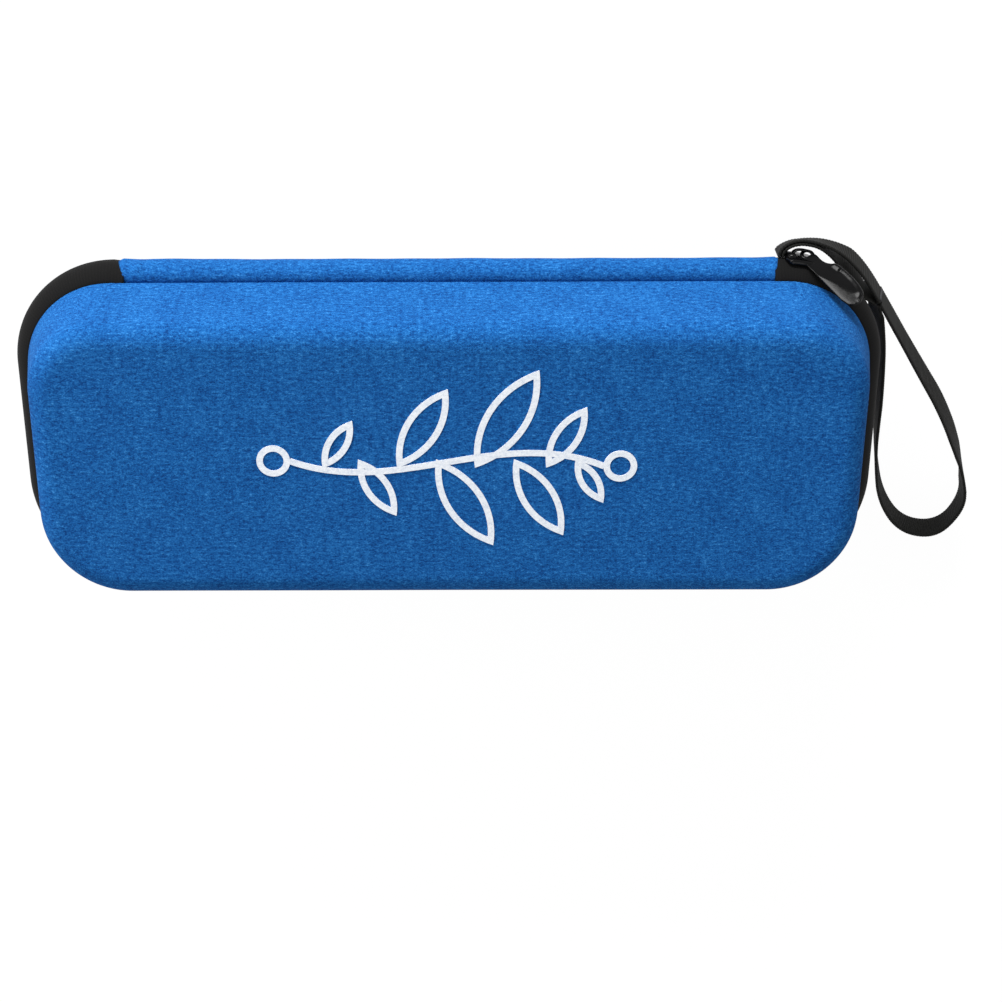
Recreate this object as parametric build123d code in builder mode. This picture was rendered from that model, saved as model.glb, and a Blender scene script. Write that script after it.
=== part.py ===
# A soft-shell hard case for a stethoscope, lying on its back with the lid face up.
# All sizes in mm. X runs along the case, +Y points to the hinge side, +Z points up.
# The origin is the middle of the flat back face, on the surface the case lies on.
from build123d import *
import math
import os

os.makedirs("parts", exist_ok=True)

# ---------------------------------------------------------------- driving sizes
rim_length = 268.0        # rim of one shell along X
rim_width = 101.7         # rim of one shell along Y
case_height = 70.0        # back face to front face
band_height = 14.66       # visible height of the zip band between the two rims
band_bulge = 4.93         # how far the band swells out past the rims
corner_hinge = 28.3       # corner radius of the rim on the hinge side
corner_zip = 32.5         # corner radius of the rim on the zip side
wall_draft = 12.7         # lean of the shell walls, degrees
face_edge = 6.2           # rounding between wall and face

skin_t = 0.7              # outer polyester fabric
core_t = 4.0              # moulded EVA foam
lining_t = 0.6            # inner lining
tape_t = 0.9              # zip tape
seam_gap = 0.3            # each half keeps this far from the parting plane

strip_right = rim_length / 2 - corner_hinge - 2.3    # hinge strip ends
strip_left = -(rim_length / 2 - corner_hinge - 2.0)
stop_length = 1.4

strap_width = 10.0
strap_t = 1.1
strap_level = case_height / 2 - 4.6   # height of the doubled strap root's middle
strap_slope = 0.2605      # the loop sinks by this much for each mm along -Y

# ---------------------------------------------------------------- derived sizes
parting_z = case_height / 2
band_half = band_height / 2
rim_z = parting_z + band_half
shell_depth = case_height / 2 - band_half
half_w = rim_width / 2
half_l = rim_length / 2
band_r = (band_half ** 2 + band_bulge ** 2) / (2 * band_bulge)   # section radius of the band
band_c = band_bulge - band_r                                     # its centre, out from the rim line
lean = math.cos(math.radians(wall_draft))
pivot_y = half_w + band_bulge + 0.22
flange_low = 1.2          # lower edge of the foam flange above the parting plane
flange_in = -0.8          # the flange stops here next to the coils
foot_low = 3.8            # the flange's outer foot starts at this height
inner_wall = skin_t + core_t
cavity_wall = inner_wall + lining_t

parting_plane = Plane.XY.offset(parting_z)
corner_x = half_l - corner_hinge
corner_y = half_w - corner_hinge
low_x = half_l - corner_zip
low_y = -(half_w - corner_zip)


# ---------------------------------------------------------------- shared shapes
def rim_sketch(inset):
    # rim outline, moved in all round by inset
    shrink = inset / lean
    with BuildSketch() as outline:
        Rectangle(rim_length - 2 * shrink, rim_width - 2 * shrink)
        upper = outline.vertices().filter_by_position(Axis.Y, 0, half_w)
        fillet(upper, corner_hinge - shrink)
        lower = outline.vertices().filter_by_position(Axis.Y, -half_w, low_y - 1)
        fillet(lower, corner_zip - shrink)
    return outline.sketch_local


def dome(inset, skirt=0.0):
    # one closed shell form above the rim, moved in by inset, with a straight skirt below the rim
    with BuildPart() as form:
        with BuildSketch(Plane.XY.offset(rim_z)):
            add(rim_sketch(inset))
        extrude(amount=shell_depth - inset, taper=wall_draft)
        top = form.faces().sort_by(Axis.Z)[-1]
        fillet(top.edges(), max(face_edge - inset, 0.8))
        if skirt > 0:
            with BuildSketch(Plane.XY.offset(rim_z - skirt)):
                add(rim_sketch(inset))
            extrude(amount=skirt)
    return form.part


def section_plane(x):
    # plane across the straight hinge-side run: first axis outwards, second axis up
    return Plane(origin=(x, half_w, parting_z), x_dir=(0, 1, 0), z_dir=(1, 0, 0))


def rim_run(x_start, x_end):
    # the rim line from x_start round the right, the zip side and the left to x_end
    with BuildLine(parting_plane) as run:
        Line((x_start, half_w), (corner_x, half_w))
        RadiusArc((corner_x, half_w), (half_l, corner_y), corner_hinge)
        Line((half_l, corner_y), (half_l, low_y))
        RadiusArc((half_l, low_y), (low_x, -half_w), corner_zip)
        Line((low_x, -half_w), (-low_x, -half_w))
        RadiusArc((-low_x, -half_w), (-half_l, low_y), corner_zip)
        Line((-half_l, low_y), (-half_l, corner_y))
        RadiusArc((-half_l, corner_y), (-corner_x, half_w), corner_hinge)
        Line((-corner_x, half_w), (x_end, half_w))
    return run.wire()


def band_ring(outer, inner, u_low, u_high, v_low, v_high):
    # slice of the round band section between two radii, cut to a box
    with BuildSketch() as ring:
        with Locations((band_c, 0)):
            Circle(outer)
            Circle(inner, mode=Mode.SUBTRACT)
        with Locations(((u_low + u_high) / 2, (v_low + v_high) / 2)):
            Rectangle(u_high - u_low, v_high - v_low, mode=Mode.INTERSECT)
    return ring.sketch_local


def box_section(u_low, u_high, v_low, v_high):
    with BuildSketch() as patch:
        with Locations(((u_low + u_high) / 2, (v_low + v_high) / 2)):
            Rectangle(u_high - u_low, v_high - v_low)
    return patch.sketch_local


def finish(holder, name):
    holder.part.label = name
    export_step(holder.part, "parts/" + name + ".step")
    box = holder.part.bounding_box()
    print(f"{name:22s} solids {len(holder.part.solids())} vol {holder.part.volume:10.1f}"
          f"  {box.min.X:7.1f} {box.min.Y:7.1f} {box.min.Z:7.1f}"
          f"  {box.max.X:7.1f} {box.max.Y:7.1f} {box.max.Z:7.1f}")


whole_rim = rim_run(0, 0)

# ---------------------------------------------------------------- front shell fabric
# Heathered polyester bonded to the outside of the moulded foam.
with BuildPart() as front_shell_fabric:
    add(dome(0))
    add(dome(skin_t), mode=Mode.SUBTRACT)
finish(front_shell_fabric, "front_shell_fabric")

# ---------------------------------------------------------------- front shell core
# Heat-formed EVA foam: the dome, a straight neck and an outward foot that the zip is sewn to.
with BuildPart() as front_shell_core:
    add(dome(skin_t))
    with BuildSketch(section_plane(0)):
        add(box_section(-8.0, flange_in, flange_low, foot_low + 0.5))
        add(box_section(-8.0, band_c + 0.9, flange_low, band_half))
        add(band_ring(band_r - tape_t - 0.05, 1.0, -8.0, 3.2, foot_low, band_half))
    sweep(path=whole_rim)
    with Locations((0, half_w + 5 + flange_in, parting_z + 2.5)):
        Box(strip_right - strip_left + 3.0, 10, 9.5, mode=Mode.SUBTRACT)
    add(dome(inner_wall, band_half - flange_low + 0.5), mode=Mode.SUBTRACT)
finish(front_shell_core, "front_shell_core")

# ---------------------------------------------------------------- front shell lining
# Thin knitted lining bonded inside the foam, down to the flange's edge.
with BuildPart() as front_shell_lining:
    add(dome(inner_wall, band_half - flange_low))
    add(dome(cavity_wall, band_half - flange_low + 1.0), mode=Mode.SUBTRACT)
finish(front_shell_lining, "front_shell_lining")

# ---------------------------------------------------------------- front rim binding
# Folded tape sewn over the raw edge of the flange, seen when the case is open.
bind_in = -cavity_wall / lean
with BuildPart() as front_rim_binding:
    with BuildSketch(section_plane(0)):
        add(box_section(bind_in - 0.6, flange_in, 0.2, flange_low - 0.02))
        add(box_section(bind_in - 0.6, bind_in - 0.03, 0.2, 6.0))
    sweep(path=whole_rim)
finish(front_rim_binding, "front_rim_binding")

# ---------------------------------------------------------------- front zip tape
# Woven tape, flat side out, from one end of the hinge strip round to the other.
zip_run = rim_run(strip_right + 0.1, strip_left - 0.1)
with BuildPart() as front_zip_tape:
    with BuildSketch(section_plane(strip_right + 0.1)):
        add(band_ring(band_r, band_r - tape_t, band_c + 1.0, 6.0, seam_gap, band_half))
    sweep(path=zip_run)
finish(front_zip_tape, "front_zip_tape")

# ---------------------------------------------------------------- front zip coil
# The nylon coil sits on the inner side of the tape, so it is hidden while the case is shut.
coil_in = band_bulge - 3.18
coil_out = band_bulge - 1.48
coil_run = rim_run(strip_right + 0.4 + stop_length, strip_left - 0.4 - stop_length)
with BuildPart() as front_zip_coil:
    with BuildSketch(section_plane(strip_right + 0.4 + stop_length)):
        with Locations(((coil_in + coil_out) / 2, 1.4)):
            Ellipse((coil_out - coil_in) / 2, 1.4 - seam_gap)
    sweep(path=coil_run)
finish(front_zip_coil, "front_zip_coil")

# ---------------------------------------------------------------- rear half
# The rear half is the same set of pieces, mirrored in the parting plane.
with BuildPart() as rear_shell_fabric:
    add(mirror(front_shell_fabric.part, about=parting_plane, mode=Mode.PRIVATE))
finish(rear_shell_fabric, "rear_shell_fabric")
with BuildPart() as rear_shell_core:
    add(mirror(front_shell_core.part, about=parting_plane, mode=Mode.PRIVATE))
finish(rear_shell_core, "rear_shell_core")
with BuildPart() as rear_shell_lining:
    add(mirror(front_shell_lining.part, about=parting_plane, mode=Mode.PRIVATE))
finish(rear_shell_lining, "rear_shell_lining")
with BuildPart() as rear_rim_binding:
    add(mirror(front_rim_binding.part, about=parting_plane, mode=Mode.PRIVATE))
finish(rear_rim_binding, "rear_rim_binding")
with BuildPart() as rear_zip_tape:
    add(mirror(front_zip_tape.part, about=parting_plane, mode=Mode.PRIVATE))
finish(rear_zip_tape, "rear_zip_tape")
with BuildPart() as rear_zip_coil:
    add(mirror(front_zip_coil.part, about=parting_plane, mode=Mode.PRIVATE))
finish(rear_zip_coil, "rear_zip_coil")

# ---------------------------------------------------------------- zip end stops
# Two small moulded stops that close off the ends of the rear coil by the hinge strip.
with BuildPart() as zip_end_stops:
    for stop_x in (strip_right + 0.3 + stop_length / 2, strip_left - 0.3 - stop_length / 2):
        with Locations((stop_x, half_w + (coil_in + coil_out) / 2, parting_z - 1.4)):
            Box(stop_length, coil_out - coil_in, 2 * (1.4 - seam_gap))
    fillet(zip_end_stops.edges().filter_by(Axis.X), 0.5)
finish(zip_end_stops, "zip_end_stops")

# ---------------------------------------------------------------- hinge strip
# A soft strip in three layers joins the two shells: fabric outside, foam, lining inside.
strip_layers = (("hinge_strip_fabric", 0.0, 0.7), ("hinge_strip_foam", 0.7, 2.3),
                ("hinge_strip_lining", 2.3, 2.7))
for layer_name, depth_out, depth_in in strip_layers:
    with BuildPart() as hinge_layer:
        with BuildSketch(section_plane(strip_left)):
            add(band_ring(band_r - depth_out, band_r - depth_in, flange_in + 0.05, 6.0,
                          -band_half, band_half))
        extrude(amount=strip_right - strip_left)
    finish(hinge_layer, layer_name)

# ---------------------------------------------------------------- printed motif
# Thin white film on the lid face: a sprig of open leaves between two small rings.
print_line = 2.0
print_t = 0.25
print_x = 0.0
print_y = 1.0
leaf_plan = ((-38, 15, 1), (-27, 19, -1), (-15, 27, 1), (-3, 31, -1), (9, 34, 1), (21, 27, -1),
             (31, 20, 1), (40, 14, -1))
with BuildPart() as front_print:
    with BuildSketch(Plane.XY.offset(case_height)):
        with BuildLine() as stem:
            Spline((print_x - 49, print_y + 1), (print_x - 20, print_y - 2.5),
                   (print_x + 12, print_y + 2.5), (print_x + 48, print_y - 1))
        trace(stem.edges(), print_line)
        for ring_x in (print_x - 54, print_x + 53):
            with Locations((ring_x, print_y + (1 if ring_x < 0 else -1))):
                Circle(5.2)
                Circle(5.2 - print_line, mode=Mode.SUBTRACT)
        for leaf_x, leaf_long, leaf_side in leaf_plan:
            foot_x = print_x + leaf_x
            tip_x = foot_x + leaf_long * 0.52
            tip_y = print_y + leaf_side * leaf_long * 0.86
            mid_x = (foot_x + tip_x) / 2
            mid_y = (print_y + tip_y) / 2
            swell_x = leaf_long * 0.17 * 0.86
            swell_y = -leaf_side * leaf_long * 0.17 * 0.52
            with BuildLine() as leaf:
                ThreePointArc((foot_x, print_y), (mid_x + swell_x, mid_y + swell_y), (tip_x, tip_y))
                ThreePointArc((foot_x, print_y), (mid_x - swell_x, mid_y - swell_y), (tip_x, tip_y))
            trace(leaf.edges(), print_line)
    extrude(amount=print_t)
finish(front_print, "front_print")

# ---------------------------------------------------------------- mesh pocket in the lid
# Net panel over the lower part of the lid, hemmed all round, with an elastic top edge.
pocket_half = 118.0
pocket_low = -39.5
pocket_high = 8.0
pocket_z = parting_z + 2.6
net_t = 0.5
hem = 4.0
hole_nx = 24
hole_ny = 11
with BuildPart() as pocket_net:
    with BuildSketch(Plane.XY.offset(pocket_z)) as net_face:
        with Locations((0, (pocket_low + pocket_high) / 2)):
            Rectangle(2 * pocket_half, pocket_high - pocket_low)
            net_corner = net_face.vertices().filter_by_position(Axis.Y, pocket_low - 1, pocket_low + 1)
        fillet(net_corner, 22.0)
        pitch_x = (2 * pocket_half - 20) / hole_nx
        pitch_y = (pocket_high - pocket_low - 2 * hem) / hole_ny
        with Locations((0, (pocket_low + pocket_high) / 2)):
            with GridLocations(pitch_x, pitch_y, hole_nx, hole_ny) as net_grid:
                grid_spots = [spot for spot in net_grid.locations
                              if abs(spot.position.X) < pocket_half - 16
                              or spot.position.Y > pocket_low + 22]
        with Locations(*grid_spots):
            Rectangle(pitch_x - 1.2, pitch_y - 1.0, mode=Mode.SUBTRACT)
    extrude(amount=net_t)
finish(pocket_net, "pocket_net")

with BuildPart() as pocket_elastic:
    with Locations((0, pocket_high - hem / 2, pocket_z - 0.45)):
        Box(2 * pocket_half - 0.4, hem, 0.9)
    fillet(pocket_elastic.edges().filter_by(Axis.X), 0.35)
finish(pocket_elastic, "pocket_elastic")

# Hem tape that holds the net's three sewn sides against the lid's inner wall.
with BuildPart() as pocket_hem:
    with BuildSketch(Plane.XY.offset(pocket_z + net_t)) as hem_face:
        add(rim_sketch(cavity_wall + 0.7))
        with Locations((0, (pocket_low + pocket_high) / 2 + 4)):
            inner_hem = Rectangle(2 * pocket_half - 7, pocket_high - pocket_low + 8, mode=Mode.PRIVATE)
        add(inner_hem, mode=Mode.SUBTRACT)
        with Locations((0, pocket_high + 40)):
            Rectangle(300, 80, mode=Mode.SUBTRACT)
    extrude(amount=1.0)
finish(pocket_hem, "pocket_hem")

# ---------------------------------------------------------------- zip slider
# Die-cast slider at the closed end, by the right end of the hinge strip. Its plates follow
# the corner, so it can run round it. A thin post joins them through the slit.
slider_angle = 9.5        # degrees round the corner from its start
slider_half_angle = 7.0
corner_axis = Axis((corner_x, corner_y, 0), (0, 0, 1))
crest = band_bulge


def slider_section_plane(angle):
    a = math.radians(angle)
    out = (math.sin(a), math.cos(a), 0)
    along = (math.cos(a), -math.sin(a), 0)
    start = (corner_x + corner_hinge * math.sin(a), corner_y + corner_hinge * math.cos(a), parting_z)
    return Plane(origin=start, x_dir=out, z_dir=along)


with BuildPart() as slider_body:
    with BuildSketch(slider_section_plane(slider_angle - slider_half_angle)):
        with Locations((crest + 0.6, 0)):
            Rectangle(0.7, 7.2)
        with Locations((crest + 0.3, 3.25), (crest + 0.3, -3.25)):
            Rectangle(1.1, 0.7)
        with Locations((0.9, 0)):
            Rectangle(0.7, 6.6)
        with Locations((1.6, 3.0), (1.6, -3.0)):
            Rectangle(1.6, 0.6)
    revolve(axis=corner_axis, revolution_arc=-2 * slider_half_angle)
    with BuildSketch(slider_section_plane(slider_angle - 5.6)):
        with Locations(((0.9 + crest + 0.6) / 2, 0)):
            Rectangle(crest - 0.3, 0.3)
    revolve(axis=corner_axis, revolution_arc=-4.0)
finish(slider_body, "slider_body")

# Stamped bridge crimped on the slider's top plate; the puller hangs from it.
slide_a = math.radians(slider_angle)
slide_t = Vector(math.cos(slide_a), -math.sin(slide_a), 0)
slide_n = Vector(math.sin(slide_a), math.cos(slide_a), 0)
slide_o = Vector(corner_x, corner_y, parting_z) + slide_n * (corner_hinge + crest)
bridge_plane = Plane(origin=slide_o, x_dir=slide_t, z_dir=(0, 0, 1))
bridge_low = 1.0
bridge_high = 4.75
bridge_half = 2.35
bridge_t = 0.75
with BuildPart() as slider_crown:
    with BuildSketch(bridge_plane):
        with Locations((0, (bridge_low + bridge_high) / 2)):
            RectangleRounded(2 * bridge_half, bridge_high - bridge_low, 1.1)
        with Locations((0, (bridge_low + bridge_high) / 2 - 0.6)):
            Rectangle(2 * (bridge_half - bridge_t), bridge_high - bridge_low - 2 * bridge_t + 1.2,
                      mode=Mode.SUBTRACT)
        with Locations((0, bridge_low - 0.5)):
            Rectangle(2 * bridge_half, 1.0, mode=Mode.SUBTRACT)
        for foot_side in (-1, 1):
            with Locations((foot_side * (bridge_half + 0.1), bridge_low + 0.3)):
                Rectangle(1.6, 0.6)
    extrude(amount=0.6, both=True)
finish(slider_crown, "slider_crown")

# ---------------------------------------------------------------- zip puller
# Cast tab with an eye at one end, hanging over the right corner of the band.
pull_dir = Vector(0.6278, -0.3857, 0.6761).normalized()
pull_nrm = Vector(0.0307, 0.8802, 0.4736)
pull_nrm = (pull_nrm - pull_dir * pull_nrm.dot(pull_dir)).normalized()
pull_lift = 3.05
pull_o = slide_o + slide_n * pull_lift
puller_plane = Plane(origin=pull_o, x_dir=pull_dir, z_dir=pull_nrm)
pull_length = 23.4
pull_sign = 1 if puller_plane.y_dir.Z > 0 else -1
with BuildPart() as zip_puller:
    with BuildSketch(puller_plane):
        with BuildLine():
            Spline((0.4, -3.3 * pull_sign), (3.6, -3.4 * pull_sign), (6.6, -1.9 * pull_sign),
                   (11.0, -2.9 * pull_sign), (19.0, -3.6 * pull_sign), (22.3, -2.6 * pull_sign),
                   (pull_length, 0), (22.3, 2.6 * pull_sign), (19.0, 3.6 * pull_sign),
                   (11.0, 2.7 * pull_sign), (6.6, 1.5 * pull_sign), (3.4, 1.6 * pull_sign),
                   (0.5, 1.3 * pull_sign), (-0.45, -0.9 * pull_sign), periodic=True)
        make_face()
        with Locations((1.72, -1.0 * pull_sign)):
            RectangleRounded(3.1, 3.6, 1.1, mode=Mode.SUBTRACT)
    extrude(amount=0.32, both=True)
    with BuildSketch(puller_plane):
        with Locations((15.5, 0)):
            SlotOverall(13.4, 6.2)
    extrude(amount=0.6, both=True)
    with BuildSketch(puller_plane.offset(0.6)):
        with Locations((15.8, 0)):
            SlotOverall(11.0, 4.0)
    extrude(amount=-0.25, mode=Mode.SUBTRACT)
finish(zip_puller, "zip_puller")
print("puller axis", puller_plane.y_dir, "origin", pull_o)

# ---------------------------------------------------------------- wrist strap
# Ribbed nylon webbing on edge. Both ends are laid together and sewn in at the zip's end.


def bend_radii(points, most):
    radii = []
    for k in range(1, len(points) - 1):
        back = Vector(*points[k]) - Vector(*points[k - 1])
        ahead = Vector(*points[k + 1]) - Vector(*points[k])
        turn = math.radians(back.get_angle(ahead))
        radii.append(min(0.45 * min(back.length, ahead.length) / math.tan(turn / 2), most))
    return radii


root_points = [(corner_x - 0.6, half_w + band_bulge + 0.12), (corner_x - 0.6, half_w + 9.15),
               (corner_x + 7.2, half_w + 11.55), (half_l - 11.4, half_w + 8.35),
               (half_l - 3.4, half_w + 0.55), (half_l + 2.6, half_w - 8.95)]
root_radii = bend_radii(root_points, 60.0)
print("strap root bend radii", [round(r, 1) for r in root_radii])
with BuildPart() as strap_root:
    with BuildSketch(Plane.XY.offset(strap_level)):
        with BuildLine() as root_line:
            FilletPolyline(*root_points, radius=root_radii)
        trace(root_line.edges(), 2 * strap_t)
    extrude(amount=strap_width / 2, both=True)
finish(strap_root, "strap_root")
root_length = sum(e.length for e in root_line.edges())
print("strap root centre line", round(root_length, 1), "volume ratio",
      round(strap_root.part.volume / (root_length * 2 * strap_t * strap_width), 3))

# The loop lies in one slanting plane, so that its far end comes down to the surface.
tilt = math.atan(strap_slope)
root_end = Vector(*root_points[-1])
root_dir = (Vector(*root_points[-1]) - Vector(*root_points[-2])).normalized()
root_side = Vector(-root_dir.Y, root_dir.X) * -1
loop_plane = Plane(origin=(0, root_end.Y, strap_level - 0.1), x_dir=(1, 0, 0),
                   z_dir=(0, -math.sin(tilt), math.cos(tilt)))
loop_start = root_end + root_dir * 0.35
leg_out = loop_start - root_side * (strap_t / 2 + 0.02)
leg_in = loop_start + root_side * (strap_t / 2 + 0.02)
if leg_out.X < leg_in.X:
    leg_out, leg_in = leg_in, leg_out
loop_bends = [(14.0, -24.25), (24.2, -39.85), (34.0, -56.05), (40.4, -72.85), (44.2, -88.85),
              (41.6, -101.85), (31.6, -105.05), (22.2, -95.85), (16.2, -81.85), (12.8, -65.25),
              (9.2, -42.85), (7.2, -28.35)]
loop_points = ([(leg_out.X, leg_out.Y)]
               + [(half_l + past, half_w + below) for past, below in loop_bends]
               + [(leg_in.X, leg_in.Y)])
loop_flat = [(px, (py - root_end.Y) / math.cos(tilt)) for px, py in loop_points]
loop_radii = bend_radii(loop_flat, 90.0)
print("strap loop bend radii", [round(r, 1) for r in loop_radii])
with BuildPart() as strap_loop:
    with BuildSketch(loop_plane):
        with BuildLine() as loop_line:
            FilletPolyline(*loop_flat, radius=loop_radii)
        trace(loop_line.edges(), strap_t)
    extrude(amount=strap_width / 2, both=True)
    add(strap_root.part, mode=Mode.SUBTRACT)
finish(strap_loop, "strap_loop")
loop_length = sum(e.length for e in loop_line.edges())
print("strap loop centre line", round(loop_length, 1), "volume ratio",
      round(strap_loop.part.volume / (loop_length * strap_t * strap_width), 3))

# Thread rows sewn across the doubled webbing, one by the band and one where the legs part.
with BuildPart() as strap_stitches:
    for row_at in (0.86, 0.93):
        spot = Vector(*root_points[-2]) + (Vector(*root_points[-1]) - Vector(*root_points[-2])) * row_at
        for side in (-1, 1):
            centre = spot + root_side * side * (strap_t + 0.12)
            row_plane = Plane(origin=(centre.X, centre.Y, strap_level),
                              x_dir=(root_dir.X, root_dir.Y, 0), z_dir=(0, 0, 1))
            with BuildSketch(row_plane):
                Rectangle(0.5, 0.24)
            extrude(amount=strap_width / 2 - 0.8, both=True)
finish(strap_stitches, "strap_stitches")
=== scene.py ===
import math

import bmesh
import bpy
import numpy as np
from mathutils import Matrix, Vector


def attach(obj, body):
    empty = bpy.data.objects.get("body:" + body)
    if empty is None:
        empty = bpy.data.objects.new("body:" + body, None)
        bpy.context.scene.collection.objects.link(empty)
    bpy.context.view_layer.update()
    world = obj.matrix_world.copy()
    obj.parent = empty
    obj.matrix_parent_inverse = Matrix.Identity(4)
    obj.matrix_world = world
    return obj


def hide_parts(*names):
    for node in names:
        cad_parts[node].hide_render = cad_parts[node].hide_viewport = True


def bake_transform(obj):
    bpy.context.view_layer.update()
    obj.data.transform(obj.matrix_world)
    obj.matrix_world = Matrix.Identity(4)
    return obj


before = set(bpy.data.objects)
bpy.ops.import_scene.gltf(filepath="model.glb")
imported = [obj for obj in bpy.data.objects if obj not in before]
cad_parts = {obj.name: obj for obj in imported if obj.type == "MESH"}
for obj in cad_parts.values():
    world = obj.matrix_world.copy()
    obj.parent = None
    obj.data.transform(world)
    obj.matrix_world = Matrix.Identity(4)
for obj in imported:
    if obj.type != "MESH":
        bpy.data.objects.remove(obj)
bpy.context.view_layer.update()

# ---- studio and camera
# The case lies on its back on a white table top. The camera looks down on the lid from the
# hinge side, so that the hinge strip is at the top of the picture. The light is soft, and
# strongest from low on the hinge side, which leaves the lid face about half as bright.
LOOK_AT = Vector((0, 0, 0.035))
LOOK_FROM = 0.54964
LEAN_OVER = math.radians(22.5)
YAW = math.radians(-0.27)
ROLL = math.radians(-0.25)
TABLE_REACH = 3.0
TABLE_GREY = 0.82
TABLE_GLOW = 1.04
TABLE_GLOW_SHARE = 0.92
ROOM_LIGHT = 0.34
LAMPS_AIM = Vector((0, 0, 0.03))

scene = bpy.context.scene
scene.view_settings.view_transform = "Standard"


def put(name, data):
    """A new object in the scene, at the origin, that holds the data."""
    made = bpy.data.objects.new(name, data)
    scene.collection.objects.link(made)
    return made


level_right = Vector((math.cos(YAW), 0, math.sin(YAW)))
level_up = Vector((math.sin(YAW) * math.sin(LEAN_OVER), math.cos(LEAN_OVER),
                   -math.cos(YAW) * math.sin(LEAN_OVER)))
back_way = level_right.cross(level_up)
right_way = level_right * math.cos(ROLL) + level_up * math.sin(ROLL)
up_way = level_up * math.cos(ROLL) - level_right * math.sin(ROLL)
lens = bpy.data.cameras.new("photo_camera")
lens.sensor_width, lens.lens = 36, 60.23
lens.shift_x, lens.shift_y = 0.0521, -0.0779
lens.clip_start, lens.clip_end = 0.01, 10
scene.camera = put("photo_camera", lens)
scene.camera.matrix_world = (
    Matrix.Translation(LOOK_AT + back_way * LOOK_FROM)
    @ Matrix((right_way, up_way, back_way)).transposed().to_4x4())


def new_finish(name):
    """A material with an emptied node tree. Returns it, its tree and its output node."""
    made = bpy.data.materials.new(name)
    made.use_nodes = True
    tree = made.node_tree
    tree.nodes.clear()
    return made, tree, tree.nodes.new("ShaderNodeOutputMaterial")


def node(tree, kind, inputs, **settings):
    """A shader node with its settings. Each of its inputs, by name or number, gets an output
    to link or a value on the socket itself."""
    made = tree.nodes.new("ShaderNode" + kind)
    for name, value in settings.items():
        setattr(made, name, value)
    for name, value in inputs.items():
        if isinstance(value, bpy.types.NodeSocket):
            tree.links.new(value, made.inputs[name])
        else:
            made.inputs[name].default_value = value
    return made


def seen_directly(tree):
    """One for a ray from the camera, off a glossy surface or through a clear one, else 0."""
    ray = node(tree, "LightPath", {}).outputs
    either = node(tree, "Math", {0: ray["Is Camera Ray"], 1: ray["Is Glossy Ray"]},
                  operation="MAXIMUM")
    return node(tree, "Math", {0: either.outputs[0], 1: ray["Is Transmission Ray"]},
                operation="MAXIMUM").outputs[0]


# Table top: plain matt white, mixed by nine tenths with white light for the rays that see it
# directly, so that it shows white and still takes a faint shadow.
table_white, tree, out = new_finish("table_white")
share = node(tree, "Math", {0: seen_directly(tree), 1: TABLE_GLOW_SHARE}, operation="MULTIPLY")
matt = node(tree, "BsdfDiffuse", {"Color": (TABLE_GREY, TABLE_GREY, TABLE_GREY, 1)})
glow = node(tree, "Emission", {"Strength": TABLE_GLOW})
mix = node(tree, "MixShader", {0: share.outputs[0], 1: matt.outputs[0], 2: glow.outputs[0]})
tree.links.new(mix.outputs[0], out.inputs[0])
table_mesh = bpy.data.meshes.new("table_top")
table_mesh.from_pydata([
    (x * TABLE_REACH, y * TABLE_REACH, 0) for x, y in ((-1, -1), (1, -1), (1, 1), (-1, 1))],
    [], [(0, 1, 2, 3)])
table_mesh.materials.append(table_white)
put("table_top", table_mesh)

# An even white room: its light on the object is a third of what is seen of it.
room = bpy.data.worlds.new("room")
room.use_nodes = True
tree = room.node_tree
strength = node(tree, "Math", {0: seen_directly(tree), 1: 1 - ROOM_LIGHT, 2: ROOM_LIGHT},
                operation="MULTIPLY_ADD")
tree.links.new(strength.outputs[0], tree.nodes["Background"].inputs["Strength"])
tree.nodes["Background"].inputs["Color"].default_value = (1, 1, 1, 1)
scene.world = room

# Three rectangular studio lamps that face the case: place, width, height and watts.
for lamp_name, place, lamp_wide, lamp_high, watts in (
        ("hinge_side_light", (-0.25, 1.35, 0.42), 0.85, 0.36, 29),
        ("left_light", (-1.15, 0.2, 0.45), 0.8, 0.5, 8),
        ("top_light", (0.05, -0.15, 1.3), 0.7, 0.7, 3.5)):
    lamp = bpy.data.lights.new(lamp_name, "AREA")
    lamp.shape = "RECTANGLE"
    lamp.size, lamp.size_y, lamp.energy = lamp_wide, lamp_high, watts
    softbox = put(lamp_name, lamp)
    softbox.location = place
    softbox.rotation_mode = "QUATERNION"
    softbox.rotation_quaternion = (LAMPS_AIM - Vector(place)).to_track_quat("-Z", "Y")

# ---- outer cloth of both halves
# Each half is a heat-formed shell: heathered polyester bonded to firm foam, with a flat
# face, leaning walls and a soft round edge. The cloth's hem tucks in where the zip starts.
MM = 0.001
RIM_LONG = 134.0
RIM_WIDE = 50.85
HINGE_CORNER = 28.3
ZIP_CORNER = 32.5
PARTING = 35.0
BAND_HALF = 7.33
RIM_TOP = PARTING + BAND_HALF
FACE_TOP = 70.0
WALL_LEAN = math.radians(12.7)
EDGE_ROUND = 7.4
LEAST_ROUND = 0.8
CLOTH_T = 0.7
HEM_UP = (-3.6, -1.2, -0.12, 0.06, 0.22, 0.45)
HEM_IN = (0.62, 0.66, 0.6, 0.36, 0.18, 0.13)
HEM_TOP = 0.9
SPINE_HALF = 74.0
SWELL = 0.05
SWELL_PEAK = 2.1
HALVES = (("lid", "front", 1), ("base", "rear", -1))


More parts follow.
